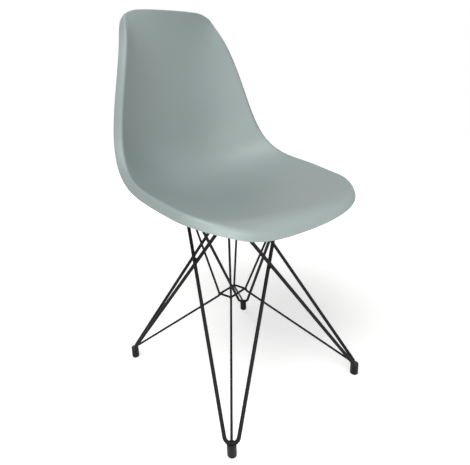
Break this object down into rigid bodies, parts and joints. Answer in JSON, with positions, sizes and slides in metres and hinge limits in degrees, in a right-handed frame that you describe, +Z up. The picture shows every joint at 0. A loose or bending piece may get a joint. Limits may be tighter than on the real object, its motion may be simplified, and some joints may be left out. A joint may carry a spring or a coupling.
{
  "type": "shell chair",
  "caption": "Armless side chair: one moulded plastic shell bolted through rubber pads onto a welded base of crossing steel rods and thin struts, with plastic foot caps.",
  "frame": {"origin": "on the floor, under the middle of the chair's overall box", "axes": "+X to the right as seen from the front, +Y towards the back, +Z up"},
  "size_m": [0.454, 0.437, 0.8338],
  "materials": {
    "shell_plastic": "satin moulded polypropylene, pale grey green",
    "coated_steel": "black powder coat, satin",
    "cap_plastic": "black moulded polyethylene",
    "pad_rubber": "black moulded rubber",
    "plated_steel": "zinc plated",
    "insert_brass": "turned"
  },
  "bodies": {
    "root": {"seat_shell": "shell_plastic", "threaded_inserts": "insert_brass", "mounting_bolts": "plated_steel", "spring_washers": "plated_steel", "flat_washers": "plated_steel", "front_left_mount_pad": "pad_rubber", "front_right_mount_pad": "pad_rubber", "back_left_mount_pad": "pad_rubber", "back_right_mount_pad": "pad_rubber", "front_left_mount_plate": "coated_steel", "front_right_mount_plate": "coated_steel", "back_left_mount_plate": "coated_steel", "back_right_mount_plate": "coated_steel", "top_frame": "coated_steel", "front_left_leg": "coated_steel", "front_right_leg": "coated_steel", "back_left_leg": "coated_steel", "back_right_leg": "coated_steel", "front_left_strut": "coated_steel", "front_right_strut": "coated_steel", "back_left_strut": "coated_steel", "back_right_strut": "coated_steel", "centre_ring": "coated_steel", "foot_studs": "plated_steel", "front_left_foot_cap": "cap_plastic", "front_right_foot_cap": "cap_plastic", "back_left_foot_cap": "cap_plastic", "back_right_foot_cap": "cap_plastic"}
  },
  "joints": []
}
